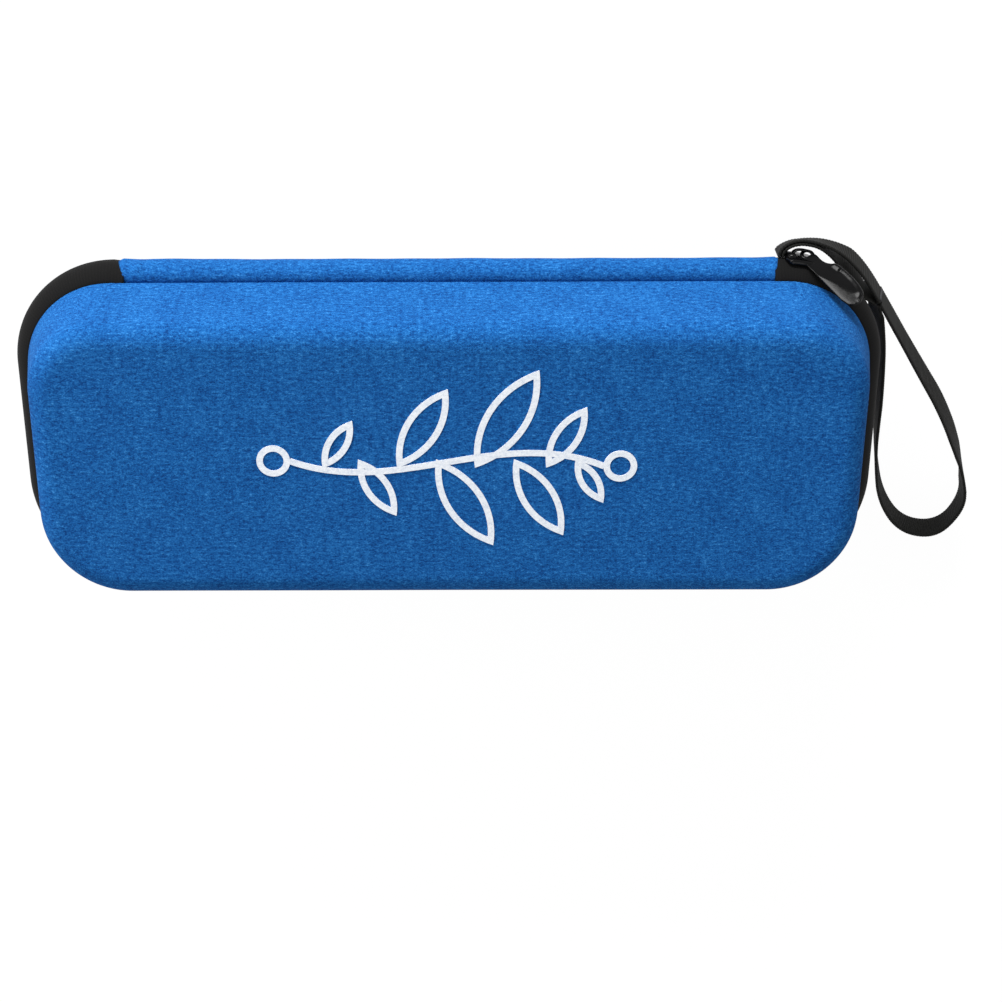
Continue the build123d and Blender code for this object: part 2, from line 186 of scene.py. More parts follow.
def rim_line(from_x=0.0, to_x=0.0):
    """The rim seen from above, in mm, walked from from_x on the hinge side round the right
    corner, the zip side and the left corner to to_x: straight runs with a stop at every
    even mm, joined by quarter circles. Returns points and outward normals."""
    hx, hy = RIM_LONG - HINGE_CORNER, RIM_WIDE - HINGE_CORNER
    zx, zy = RIM_LONG - ZIP_CORNER, RIM_WIDE - ZIP_CORNER

    def run(axis, a, b, aside, way):
        low, high = min(a, b), max(a, b)
        stops = np.unique(np.r_[low, np.arange(math.ceil(low / 2) * 2, high, 2.0), high])
        stops = (stops if a < b else stops[::-1])[:-1]
        line = np.zeros((len(stops), 4))
        line[:, axis], line[:, 1 - axis], line[:, 3 - axis] = stops, aside, way
        return line

    def quarter(cx, cy, radius, start):
        a = start - np.arange(36) / 36 * math.pi / 2
        return np.c_[cx + radius * np.cos(a), cy + radius * np.sin(a), np.cos(a), np.sin(a)]

    walk = np.vstack([
        run(0, from_x, hx, RIM_WIDE, 1), quarter(hx, hy, HINGE_CORNER, math.pi / 2),
        run(1, hy, -zy, RIM_LONG, 1), quarter(zx, -zy, ZIP_CORNER, 0),
        run(0, zx, -zx, -RIM_WIDE, -1), quarter(-zx, -zy, ZIP_CORNER, -math.pi / 2),
        run(1, -zy, hy, -RIM_LONG, -1), quarter(-hx, hy, HINGE_CORNER, math.pi),
        run(0, -hx, to_x, RIM_WIDE, 1), [[to_x, RIM_WIDE, 0, 1]]])
    return walk[:, :2], walk[:, 2:]


def rim_ring():
    """The whole rim as a ring, so without its last point, which is its first."""
    return [part[:-1] for part in rim_line()]


def distance(line):
    """The distance walked along a line of points, at each of them."""
    return np.r_[0, np.cumsum(np.linalg.norm(np.diff(line, axis=0), axis=1))]


def merge_doubles(mesh):
    """Points nearer to each other than two thousandths of a mm become one."""
    work = bmesh.new()
    work.from_mesh(mesh)
    bmesh.ops.remove_doubles(work, verts=work.verts, dist=2e-6)
    work.to_mesh(mesh)
    work.free()


def grid_piece(name, points, finish, cloth, loop_rows=False, loop_columns=False):
    """A closed mesh from a grid of points in mm, with a quad between each point and the next
    ones along its row and column. The faces are turned outwards by the sign of the enclosed
    volume. cloth gives the flat cloth positions, in mm, with one more row or column where
    that direction is a loop."""
    rows, columns = points.shape[:2]
    i, j = np.meshgrid(np.arange(rows - 1 + loop_rows), np.arange(columns - 1 + loop_columns),
                       indexing="ij")
    i2, j2 = (i + 1) % rows, (j + 1) % columns
    quads = np.stack([i * columns + j, i2 * columns + j, i2 * columns + j2,
                      i * columns + j2], -1).reshape(-1, 4)
    laid = np.stack([cloth[i, j], cloth[i + 1, j], cloth[i + 1, j + 1], cloth[i, j + 1]],
                    -2).reshape(-1, 4, 2)
    flat = points.reshape(-1, 3)
    a, b, c, d = (flat[quads[:, k]] for k in range(4))
    if (a * np.cross(b, c)).sum() + (a * np.cross(c, d)).sum() < 0:
        quads, laid = quads[:, ::-1], laid[:, ::-1]
    mesh = bpy.data.meshes.new(name)
    mesh.vertices.add(len(flat))
    mesh.vertices.foreach_set("co", (flat * MM).ravel())
    mesh.loops.add(quads.size)
    mesh.loops.foreach_set("vertex_index", quads.ravel())
    mesh.polygons.add(len(quads))
    mesh.polygons.foreach_set("loop_start", np.arange(0, quads.size, 4))
    mesh.polygons.foreach_set("use_smooth", np.ones(len(quads), bool))
    mesh.uv_layers.new(name="cloth").data.foreach_set("uv", laid.ravel())
    mesh.update(calc_edges=True)
    merge_doubles(mesh)
    mesh.materials.append(finish)
    return put(name, mesh)


def settle(piece, body, slot_name, *stands_for):
    """The piece rides on a body and stands for CAD nodes, which it hides. Its slot_name is not
    used.
    """
    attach(piece, body)
    if stands_for:
        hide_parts(*stands_for)


def wall_profile(inset, skirt):
    """Height above the rim and inward shift of a shell surface that lies inset inside the
    outside, from the face down: a quarter-round edge, the leaning wall and a straight skirt
    below the rim. The outside itself ends in a tucked hem."""
    start = inset / math.cos(WALL_LEAN)
    round_r = max(EDGE_ROUND - inset, LEAST_ROUND)
    centre_z = FACE_TOP - RIM_TOP - inset - round_r
    centre_in = start + centre_z * math.tan(WALL_LEAN) + round_r / math.cos(WALL_LEAN)
    wall_z = np.linspace(0 if inset else HEM_TOP, centre_z + round_r * math.sin(WALL_LEAN), 16)
    a = np.linspace(WALL_LEAN, math.pi / 2, 9)[1:]
    z = np.r_[wall_z, centre_z + round_r * np.sin(a)]
    inward = np.r_[start + wall_z * math.tan(WALL_LEAN), centre_in - round_r * np.cos(a)]
    if not inset:
        z, inward = np.r_[HEM_UP, z], np.r_[HEM_IN, inward]
    if skirt:
        z, inward = np.r_[-skirt, -skirt / 2, z], np.r_[start, start, inward]
    return z[::-1], inward[::-1]


def shell_surface(inset, skirt, half):
    """One skin of a shell as a grid: round the rim line, and from the middle of the face out
    to its edge and down the wall. The face runs in straight lines from a spine along its
    middle to its edge, and swells by a few hundredths of a mm, as bonded cloth does. half
    -1 mirrors it in the parting plane, with its swells all inward, so that it rests on the
    table. Returns points and flat cloth positions, in mm."""
    base, normal = rim_ring()
    z, inward = wall_profile(inset, skirt)
    wall = np.empty((len(base), len(z), 3))
    wall[..., :2] = base[:, None] - inward[None, :, None] * normal[:, None]
    wall[..., 2] = z
    edge = wall[:, 0]
    spine = np.c_[np.clip(base[:, 0], -SPINE_HALF, SPINE_HALF), 0 * edge[:, 1], edge[:, 2]]
    share = (np.arange(25) / 25) ** 0.85
    face = spine[:, None] + (edge - spine)[:, None] * share[None, :, None]
    points = np.concatenate([face, wall], 1)
    drape = distance(np.c_[z, inward])
    cloth = np.concatenate([face[..., :2], edge[:, None, :2]
                            + normal[:, None] * drape[None, :, None]], 1)
    x, y = points[..., 0], points[..., 1]
    waves = (np.sin(x / 31 + 0.6) * np.cos(y / 17 - 0.4) + 0.6 * np.sin(x / 13.7 + y / 21)
             + 0.5 * np.cos(x / 47 - y / 29 + 1.3))
    swell = SWELL * (waves - (SWELL_PEAK if half < 0 else 0))
    points[..., 2] += swell * np.clip(points[..., 2] / (FACE_TOP - RIM_TOP), 0, 1)
    points[..., 2] = PARTING + half * (points[..., 2] + BAND_HALF)
    return points, np.concatenate([cloth, cloth[:1]], 0)


def lay_skins(layer, cad_layer, finish, slot_name, outside, inside, skirt=0):
    """One layer of each half: its skins at two insets, joined over the rim and along the
    spine."""
    for half_name, cad_name, half in HALVES:
        pair = [shell_surface(inset, skirt, half) for inset in (outside, inside)]
        points, cloth = (np.concatenate([a, b[:, ::-1]], 1) for a, b in zip(*pair))
        piece = grid_piece(f"{half_name}_{layer}", points, finish, cloth, loop_rows=True)
        settle(piece, cad_name + "_half", slot_name, f"{cad_name}_shell_{cad_layer}")


def flat_cloth(tree):
    """The cloth's own flat positions, in mm."""
    return node(tree, "UVMap", {}, uv_map="cloth").outputs[0]


def grain(tree, place, scale, detail=2.0, roughness=0.5, stretch=(1, 1, 1)):
    """Noise read at place, squeezed along each axis by stretch."""
    squeezed = node(tree, "Mapping", {"Vector": place, "Scale": stretch})
    return node(tree, "TexNoise", {"Vector": squeezed.outputs[0], "Scale": scale,
                                   "Detail": detail, "Roughness": roughness}).outputs[0]


def ribs(tree, place, scale, way="X", distortion=0.0):
    """A sine wave across place along one axis: scale 1 gives about three ribs a unit."""
    return node(tree, "TexWave", {"Vector": place, "Scale": scale, "Distortion": distortion,
                                  "Detail": 1.0}, bands_direction=way).outputs["Fac"]


def weigh(tree, *terms):
    """The sum of (weight, output) terms."""
    total = 0
    for weight, output in terms:
        total = node(tree, "Math", {0: output, 1: weight, 2: total},
                     operation="MULTIPLY_ADD").outputs[0]
    return total


def shades(tree, amount, stops):
    """A colour ramp over amount. Each stop is a place on it and a colour as a screen shows
    it, 0 to 255, which is turned into linear light."""
    made = node(tree, "ValToRGB", {0: amount})
    ramp = made.color_ramp.elements
    while len(ramp) < len(stops):
        ramp.new(0.5)
    for element, (at, *colour) in zip(ramp, stops):
        element.position = at
        element.color = [c / 255 / 12.92 if c < 10.3 else ((c / 255 + 0.055) / 1.055) ** 2.4
                         for c in colour] + [1]
    return made.outputs[0]


def skin_of(tree, out, colour, roughness, height, depth, specular, sheen=0.0):
    """The surface shader, with a bump of depth metres where height is 1."""
    bump = node(tree, "Bump", {"Strength": 1.0, "Distance": depth, "Height": height})
    made = node(tree, "BsdfPrincipled", {
        "Base Color": colour, "Roughness": roughness, "Specular IOR Level": specular,
        "Sheen Weight": sheen, "Sheen Roughness": 0.4, "Normal": bump.outputs[0]})
    tree.links.new(made.outputs[0], out.inputs[0])


# Melange cloth: pale and deep blue fibres spun into one yarn, so that it is mottled in short
# streaks along the weft, over a fine plain weave.
blue_heather, tree, out = new_finish("blue_heather")
cloth_place = flat_cloth(tree)
mottle = weigh(tree, (0.42, grain(tree, cloth_place, 0.85, 3.0, 0.62, (0.62, 1.2, 1))),
               (0.42, grain(tree, cloth_place, 2.2, 2.0, 0.65, (0.72, 1, 1))),
               (0.10, grain(tree, cloth_place, 0.09)),
               (0.06, grain(tree, cloth_place, 0.8, 2.0, 0.5, (1.2, 0.12, 1))))
weave = weigh(tree, (0.08, ribs(tree, cloth_place, 0.62, "X", 1.4)),
              (0.12, ribs(tree, cloth_place, 0.7, "Y", 1.4)), (1.1, mottle))
blues = shades(tree, mottle, [(0.34, 7, 46, 100), (0.43, 14, 66, 127), (0.50, 21, 85, 151),
                              (0.57, 34, 104, 171), (0.67, 66, 138, 202)])
skin_of(tree, out, blues, 0.9, weave, 0.0002, 0.08)
lay_skins("cloth", "fabric", blue_heather, "blue_fabric", 0, CLOTH_T)

# ---- foam cores
# Firm EVA foam board, heat-formed to the shell with a foot that the zip is sewn to. Cloth
# and lining cover it; it is the CAD part itself, finished as closed-cell foam.
CORE_T = 4.0


def object_place(tree):
    """The place on the piece, in metres."""
    return node(tree, "TexCoord", {}).outputs["Object"]


def cells(tree, place, scale):
    """The distance from the middle of the nearest of many small cells."""
    return node(tree, "TexVoronoi", {"Vector": place, "Scale": scale}).outputs["Distance"]


def patterned(name, where, terms, stops, roughness, depth, specular=0.3, sheen=0.0,
              bump=None):
    """A finish from patterns read at where. Each term is a weight, a pattern and what it
    takes. Their sum picks the shade and raises the bump, unless bump has its own terms."""
    made, tree, out = new_finish(name)
    place = where(tree)
    tone, height = (weigh(tree, *((weight, pattern(tree, place, *rest))
                                  for weight, pattern, *rest in some))
                    for some in (terms, bump or terms))
    skin_of(tree, out, shades(tree, tone, stops), roughness, height, depth, specular, sheen)
    return made


def finish_cad(finish, *node_names):
    """CAD nodes that stay as they are take a finish."""
    for name in node_names:
        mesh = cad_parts[name].data
        mesh.materials.clear()
        mesh.materials.append(finish)


foam_board = patterned(
    "shell_foam", object_place, [(0.6, cells, 1800), (0.5, grain, 300)],
    [(0.2, 38, 39, 42), (0.8, 64, 65, 69)], 0.85, 0.0002, bump=[(1, cells, 1800)])
finish_cad(foam_board, "front_shell_core", "rear_shell_core")

# ---- linings
# Thin knitted polyester glued inside the foam, from the roof of each half down its wall to
# the edge where the binding covers it. It is black, with fine upright wales and loops.
LINING_T = 0.6
GLUE_T = 0.02
SKIRT = BAND_HALF - 1.2
FOAM_IN = CLOTH_T + CORE_T
lining_knit = patterned("lining_knit", flat_cloth, [
    (0.6, ribs, 0.36, "X", 0.8), (0.4, ribs, 0.3, "Y", 1.5), (0.3, grain, 1.4)],
    [(0.3, 24, 25, 28), (0.9, 52, 54, 59)], 0.92, 0.0003, 0.15, 0.15)
lay_skins("lining", "lining", lining_knit, "lining_fabric", FOAM_IN + GLUE_T,
          FOAM_IN + LINING_T, SKIRT)

# ---- rim bindings
# A folded woven tape wraps the raw inner edge of each half and is sewn through with one
# row of thread.
BIND_IN = -(FOAM_IN + LINING_T) / math.cos(WALL_LEAN)
BIND_BACK = BIND_IN - 0.02
BIND_FACE = BIND_IN - 0.62
BIND_OUT = -0.85
BIND_FOOT = 0.2
BIND_FOLD = 1.16
BIND_TOP = 6.0
STITCH = 3.2
STITCH_UP = 3.6
STITCH_RISE = 0.12
THREAD_R = 0.2


def unit(ways):
    """Each way at a length of one."""
    return ways / np.linalg.norm(ways, axis=1)[:, None]


def read_at(s, stops, table):
    """A table of columns given at stops, read in straight lines between them at s."""
    return np.stack([np.interp(s, stops, column) for column in np.transpose(table)], 1)


def rounded(corners, radius):
    """A closed outline through corners, each rounded: the corner's two cut points, joined by
    a quadratic curve with the corner as its middle control point."""
    corners = np.array(corners, float)
    back = np.roll(corners, 1, 0) - corners
    ahead = np.roll(corners, -1, 0) - corners
    cut = np.minimum(radius, 0.45 * np.minimum(np.linalg.norm(back, axis=1),
                                               np.linalg.norm(ahead, axis=1)))[:, None]
    t = np.linspace(0, 1, 4)[None, :, None]
    curve = ((1 - t) ** 2 * (corners + unit(back) * cut)[:, None]
             + 2 * t * (1 - t) * corners[:, None]
             + t ** 2 * (corners + unit(ahead) * cut)[:, None])
    return curve.reshape(-1, 2)


def carried_round(run, profile, half):
    """A closed profile of (out, up) points in mm carried along a rim run: out is measured
    from the rim line, up from the parting plane."""
    base, normal = run
    points = np.empty((len(base), len(profile), 3))
    points[..., :2] = base[:, None] + profile[None, :, :1] * normal[:, None]
    points[..., 2] = PARTING + half * profile[:, 1]
    return points


def closed_ends(points):
    """The grid with a row of its end profile's middle added at each end."""
    first, last = (np.broadcast_to(end.mean(0), end.shape)[None]
                   for end in (points[0], points[-1]))
    return np.concatenate([first, points, last])


def carried_piece(name, points, finish, body, slot_name, *stands_for, ring=False):
    """A piece from a closed profile carried along a line or a ring, with its cloth positions:
    the distance along the profile's middles, and on a ring also the distance round it."""
    if not ring:
        points = closed_ends(points)
    middle, profile = points.mean(1), points[0]
    along = distance(np.vstack([middle, middle[:1]]) if ring else middle)
    around = distance(np.vstack([profile, profile[:1]]))
    cloth = np.stack(np.meshgrid(along, around, indexing="ij"), -1)
    piece = grid_piece(name, points, finish, cloth, loop_rows=ring, loop_columns=True)
    settle(piece, body, slot_name, *stands_for)
    return piece


def woven_tape(name, dark, pale, scale):
    """Black woven polyester tape: a close weave in two ways, a little fuzzy."""
    return patterned(name, flat_cloth, [
        (0.5, ribs, scale, "DIAGONAL", 0.4), (0.3, ribs, scale * 0.8, "Y", 0.5),
        (0.4, grain, 1.3, 2.0, 0.6)],
        [(0.25, *dark), (0.95, *pale)], 0.85, 0.00003, 0.14, 0.02)


def tube_grid(path, radius, up=(0.03, 0.02, 1.0)):
    """A thread along a path in mm: five-sided rings at right angles to the path, each turned
    from a fixed up way."""
    along = unit(np.gradient(path, axis=0))
    side = unit(np.cross(along, up))
    top = np.cross(side, along)
    a = np.arange(5) / 5 * 2 * math.pi
    return path[:, None] + radius * (np.cos(a)[None, :, None] * side[:, None]
                                     + np.sin(a)[None, :, None] * top[:, None])


def rim_steps(start, stop, pitch, steps):
    """The rim from start to stop in even steps, so many to a pitch. Returns the distances,
    points, outward normals and the whole number of pitches."""
    base, normal = rim_line(start, stop)
    walked = distance(base)
    count = round(walked[-1] / pitch)
    s = np.linspace(0, walked[-1], count * steps + 1)
    return s, read_at(s, walked, base), read_at(s, walked, normal), count


def sewn_row(half):
    """A running stitch round the binding: thread that shows for most of each stitch and
    dives into the cloth between, as a raised cosine of the distance walked."""
    s, where, way, count = rim_steps(0, 0, STITCH, 8)
    dive = np.clip(np.cos(s / s[-1] * count * 2 * math.pi) * 2.2 + 1.4, -1, 1)
    path = np.c_[where + way * (BIND_FACE - STITCH_RISE * dive)[:, None],
                 0 * s + PARTING + half * STITCH_UP]
    return tube_grid(path, THREAD_R)


binding_weave = woven_tape("binding_weave", (18, 18, 20), (42, 42, 45), 0.3)
black_thread = patterned(
    "black_thread", flat_cloth, [(1, ribs, 1.2, "DIAGONAL")],
    [(0.2, 20, 20, 22), (0.9, 58, 58, 62)], 0.6, 0.0001, 0.35)
binding_outline = rounded([
    (BIND_OUT, BIND_FOOT), (BIND_OUT, BIND_FOLD), (BIND_BACK, BIND_FOLD),
    (BIND_BACK, BIND_TOP), (BIND_FACE, BIND_TOP), (BIND_FACE, BIND_FOOT)], 0.35)
for half_name, cad_name, half in HALVES:
    body = cad_name + "_half"
    carried_piece(half_name + "_binding", carried_round(rim_ring(), binding_outline, half),
                  binding_weave, body, "binding_tape", cad_name + "_rim_binding", ring=True)
    carried_piece(half_name + "_binding_thread", sewn_row(half), black_thread, body, "thread")

# ---- zip tapes
# One flat woven tape on each half, sewn behind the rim and curved out over the zip coil,
# so that the two make the round black band. They start and end under the hinge strip.
BAND_R = 7.914
BAND_CENTRE = -2.984
TAPE_T = 0.9
TAPE_GAP = 0.04
TAPE_FOOT = 6.9
TAPE_START, TAPE_STOP = 102.2, -101.5
TUCK_FROM, TUCK_TO = -104.6, -95
TUCK_DEPTH, TUCK_RUN = 0.45, 1.2


def band_arc(radius, low, high, steps):
    """Points (out, up) on the band's round section of that radius, between two heights."""
    up = np.linspace(low, high, steps)
    return np.c_[BAND_CENTRE + np.sqrt(radius ** 2 - up ** 2), up]


zip_tape_weave = woven_tape("zip_tape_weave", (6, 6, 6), (12, 11, 11), 0.62)
tape_outline = np.vstack([band_arc(BAND_R, TAPE_GAP, BAND_HALF, 22),
                          band_arc(BAND_R - TAPE_T, TAPE_FOOT, TAPE_GAP, 18)])
tape_run = rim_line(TAPE_START, TAPE_STOP)
tape_x, tape_y = tape_run[0].T
tucked = (tape_x > TUCK_FROM) & (tape_x < TUCK_TO) & (tape_y > 0)
tuck = TUCK_DEPTH * np.clip(np.where(tucked, tape_x - TUCK_FROM, 0) / TUCK_RUN, 0, 1)
for half_name, cad_name, half in HALVES:
    tape = carried_round(tape_run, tape_outline, half)
    tape[..., 1] -= tuck[:, None]
    carried_piece(half_name + "_zip_tape", tape, zip_tape_weave, cad_name + "_half",
                  "zip_tape", cad_name + "_zip_tape")

# ---- zip coils
# Each half of the zip is a coil of black nylon filament on the inner side of its tape,
# smooth and a little glossy. The two are set half a turn apart, so that their loops lock.
# A coil is a helix carried along the rim run: the distance walked gives the phase.
COIL_START, COIL_STOP = 105.2, -105.5
COIL_PITCH = 1.4
COIL_OUT, COIL_UP = 2.6, 1.35
LOOP_OUT, LOOP_UP = 0.6, 0.98
FILAMENT_R = 0.24
zip_nylon = patterned(
    "zip_nylon", object_place, [(1, grain, 900)], [(0.3, 15, 15, 16), (0.8, 34, 34, 36)],
    0.35, 0.00004, 0.5, bump=[(1, grain, 2500)])
for (half_name, cad_name, half), shift in zip(HALVES, (0.0, 0.5)):
    s, where, way, _ = rim_steps(COIL_START, COIL_STOP, COIL_PITCH, 10)
    phase = (s / COIL_PITCH + shift) * 2 * math.pi
    path = np.c_[where + way * (COIL_OUT + LOOP_OUT * np.cos(phase))[:, None],
                 PARTING + half * (COIL_UP + LOOP_UP * np.sin(phase))]
    carried_piece(half_name + "_zip_coil", tube_grid(path, FILAMENT_R, (0.35, 0.2, 1.0)),
                  zip_nylon, cad_name + "_half", "zip_nylon", cad_name + "_zip_coil")

# ---- zip end stops
# Small nylon blocks, welded hot on both ends of the coil so that the slider can't run off.
# They are the CAD parts themselves, finished as the same black nylon.
finish_cad(zip_nylon, "zip_end_stops")

# ---- hinge strip
# The two shells are cut from one formed blank, and the uncut strip between them is the
# hinge: the same cloth, foam and lining, heat-pressed thin so that it folds. Its ends are
# cut slanting and turned under by the zip, where the cloth puckers.
STRIP_LEFT, STRIP_RIGHT = -103.9, 104.3
STRIP_ROWS = 220
STRIP_CUT = 208
SLANT_LEFT, SLANT_RIGHT = 2.4, 1.4
CURL_R = 3.6
MAIN_TURN, CURL_TURN = 32, 128
# Each pucker: its height, its place and reach along x, and its place and reach upwards.
PUCKERS = ((0.42, -97.2, 1.5, 4.2, 2.2), (0.30, -93.4, 1.3, 2.5, 3.0),
           (-0.25, -95.3, 0.9, 3.8, 2.6))


def folded_section():
    """The cloth's section, as (out, up): an arc of 32 degrees each way about the band's
    centre, then a small arc that curls it down into the crease by the rim, and a short
    straight tuck. The inner line is the same, a cloth thickness inside."""
    main = np.radians(np.linspace(MAIN_TURN, -MAIN_TURN, 23))
    curl = np.radians(np.linspace(CURL_TURN, MAIN_TURN, 17))[:-1]
    centre = np.array([BAND_CENTRE, 0])
    curl_at = centre + (BAND_R - CURL_R) * np.array([math.cos(main[0]), math.sin(main[0])])

    def line(inside, tuck):
        upper = curl_at + (CURL_R - inside) * np.c_[np.cos(curl), np.sin(curl)]
        middle = centre + (BAND_R - inside) * np.c_[np.cos(main), np.sin(main)]
        upper = np.vstack([[tuck], upper])
        return np.vstack([upper, middle, upper[::-1] * [1, -1]])

    return np.vstack([line(0, (-1.75, 4.3)), line(CLOTH_T, (-1.2, 4.0))[::-1]])


def plain_section(outer, inner, reach):
    """The section of an inner layer: two arcs about the band's centre, up to a height of
    reach, flattened where they would pass the rim."""
    rise = np.linspace(reach, -reach, 30)
    arcs = [np.c_[BAND_CENTRE + np.sqrt(np.maximum(radius ** 2 - rise ** 2, least)), rise]
            for radius, least in ((outer, 5.0), (inner, 4.2))]
    return np.vstack([arcs[0], arcs[1][::-1]])


def strip_layer(section, lift):
    """One layer of the strip: its section swept along the hinge side. x runs between the
    two slanted ends, so it depends on the angle round the band. lift adds a low swell,
    puckers near the left end and a small rise at both ends, so that the cloth stands proud
    of the tape."""
    turn = np.degrees(np.arctan2(np.abs(section[:, 1]), section[:, 0] - BAND_CENTRE))
    level = np.clip(turn / 60, 0, 1)
    left = STRIP_LEFT + SLANT_LEFT * level ** 1.3
    right = STRIP_RIGHT - SLANT_RIGHT * level
    x = left + (right - left) * np.linspace(0, 1, STRIP_ROWS)[:, None]
    v = np.broadcast_to(section[:, 1], x.shape)
    proud = (0.30 * np.exp(-((x - left) / 4.5) ** 2) + 0.22 * np.exp(-((x - right) / 4) ** 2)
             + 0.16 * np.exp(-((x + 86) / 7) ** 2)
             + 0.07 * np.sin(x / 9.3 + 1) * np.cos(x / 23 + v / 5)
             + 0.04 * np.sin(x / 3.1 + v / 2.7))
    for height, at_x, long, at_v, tall in PUCKERS:
        proud += height * np.exp(-((x - at_x) / long) ** 2 - ((v - at_v) / tall) ** 2)
    ring = np.hypot(section[:, 0] - BAND_CENTRE, section[:, 1])
    tuck = np.clip(1 - (x - left) / 0.7, 0, 1) ** 2 + np.clip(1 - (right - x) / 0.7, 0, 1) ** 2
    proud = lift * (proud - 0.5 * tuck * (ring > BAND_R - 0.3))
    u = section[:, 0] + proud * (section[:, 0] - BAND_CENTRE) / ring
    v = v + proud * section[:, 1] / ring
    around = distance(np.vstack([section, section[:1]]))
    cloth = np.stack(np.meshgrid(np.linspace(0, STRIP_CUT, STRIP_ROWS + 2), around,
                                 indexing="ij"), -1)
    return closed_ends(np.stack([x, RIM_WIDE + u, PARTING + v], -1)), cloth


for layer_name, cad_layer, section, lift, finish, slot_name in (
        ("cloth", "fabric", folded_section(), 1.0, blue_heather, "blue_fabric"),
        ("foam", "foam", plain_section(7.19, 5.63, 3.0), 0.5, foam_board, "shell_foam"),
        ("lining", "lining", plain_section(5.61, 5.21, BAND_HALF), 0.3, lining_knit,
         "lining_fabric")):
    points, cloth = strip_layer(section, lift)
    piece = grid_piece("hinge_" + layer_name, points, finish, cloth, loop_columns=True)
    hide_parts("hinge_strip_" + cad_layer)
    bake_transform(piece)

# ---- zip slider
# Die-cast zinc in glossy black: a domed top plate outside the coil, a flat plate inside it,
# joined at the nose, with guide flanges along the sides. It follows the corner it stands on.
CORNER_X = RIM_LONG - HINGE_CORNER
CORNER_Y = RIM_WIDE - HINGE_CORNER
CREST = BAND_R + BAND_CENTRE
SLIDER_AT = 9.5
PLATE_BACK, PLATE_AHEAD = 9.2, 7.6
POST_BACK, POST_AHEAD = 5.6, -1.6
POST_FOOT, POST_TOP, POST_HALF = 1.0, CREST + 0.6, 0.15


def glossy_zinc(name, specular):
    """Zinc casting with a thick glossy black coat: wide soft highlights and a very fine
    orange peel."""
    return patterned(name, object_place, [(1, grain, 120)], [(0.3, 3, 3, 4), (0.8, 8, 8, 9)],
                     0.2, 0.00001, specular, bump=[(1, grain, 700, 1.0)])


def corner_sweep(back, ahead, section):
    """Sections of (out from the rim, height) points swept round the corner's centre, in even
    steps from back degrees behind the slider's middle to ahead degrees before it."""
    a = np.radians(np.linspace(SLIDER_AT - back, SLIDER_AT + ahead, len(section)))[:, None]
    radius = HINGE_CORNER + section[..., 0]
    return np.stack([CORNER_X + radius * np.sin(a), CORNER_Y + radius * np.cos(a),
                     PARTING + section[..., 1]], -1)


def plate_section(low, high, half_width, edge):
    """A slider plate's section: a rounded rectangle from low to high, with its edge turned
    in by edge to make a guide flange."""
    return rounded([
        (high, -half_width + 0.25), (high + 0.12, 0), (high, half_width - 0.25),
        (high - 0.45, half_width), (low - edge, half_width), (low - edge, half_width - 0.62),
        (low, half_width - 0.72), (low, -half_width + 0.72),
        (low - edge, -half_width + 0.62), (low - edge, -half_width),
        (high - 0.45, -half_width)], 0.4)


def slider_plate(name, low, high, half_width, edge, *stands_for):
    """A plate swept over 17 degrees: it narrows towards its tail, and both ends are rounded
    in plan by the root of one less the distance squared, and thinned."""
    t = np.linspace(-1, 1, 41)
    end = np.sqrt(1 - np.clip(np.abs(t) - 0.62, 0, 1) ** 2 / 0.16)
    width = (1 - 0.12 * np.clip(t, 0, 1) ** 2) * end
    section = np.repeat(plate_section(low, high, half_width, edge)[None], 41, 0)
    section[..., 1] *= np.maximum(width, 0.42)[:, None]
    thin = 1 - 0.35 * np.clip(np.abs(t) - 0.86, 0, 1) / 0.14
    middle = (low + high) / 2
    section[..., 0] = middle + (section[..., 0] - middle) * thin[:, None]
    carried_piece(name, corner_sweep(PLATE_BACK, PLATE_AHEAD, section), black_zinc, "slider",
                  "black_zinc", *stands_for)


black_zinc = glossy_zinc("black_zinc", 0.13)
slider_plate("slider_top", CREST + 0.28, CREST + 1.05, 5.1, 0.7, "slider_body")
slider_plate("slider_inside", 0.9, 1.25, 3.3, -0.3)
post_section = rounded([(POST_FOOT, -POST_HALF), (POST_TOP, -POST_HALF),
                        (POST_TOP, POST_HALF), (POST_FOOT, POST_HALF)], 0.1)
post = corner_sweep(POST_BACK, POST_AHEAD, np.repeat(post_section[None], 9, 0))
carried_piece("slider_post", post, black_zinc, "slider", "black_zinc")

# ---- slider bridge
# A stamped steel bridge crimped on the top plate, with a domed rivet foot at each end. The
# puller's eye hangs on it.
SLIDE_A = math.radians(SLIDER_AT)
SLIDE_ALONG = np.array([math.cos(SLIDE_A), -math.sin(SLIDE_A), 0])
SLIDE_OUT = np.array([math.sin(SLIDE_A), math.cos(SLIDE_A), 0])
UPWARD = np.array([0, 0, 1.0])
SLIDE_AT = np.array([CORNER_X, CORNER_Y, PARTING]) + SLIDE_OUT * (HINGE_CORNER + CREST)
BRIDGE_HALF, BRIDGE_FOOT, BRIDGE_RISE = 3.3, 0.7, 2.55
BRIDGE_T = 0.34
DOME_FOOT, DOME_RISE = 0.75, 1.4
DOME_UP, DOME_HALF_UP = 0.8, 1.9


def moved(place, *moves):
    """The place after its moves, each of them distances in mm and the way they go."""
    for distances, way in moves:
        place = place + np.multiply.outer(distances, way)
    return place


def squared(wave, power):
    """A sine or cosine with its size raised to a power, which squares a round outline."""
    return np.sign(wave) * np.abs(wave) ** power


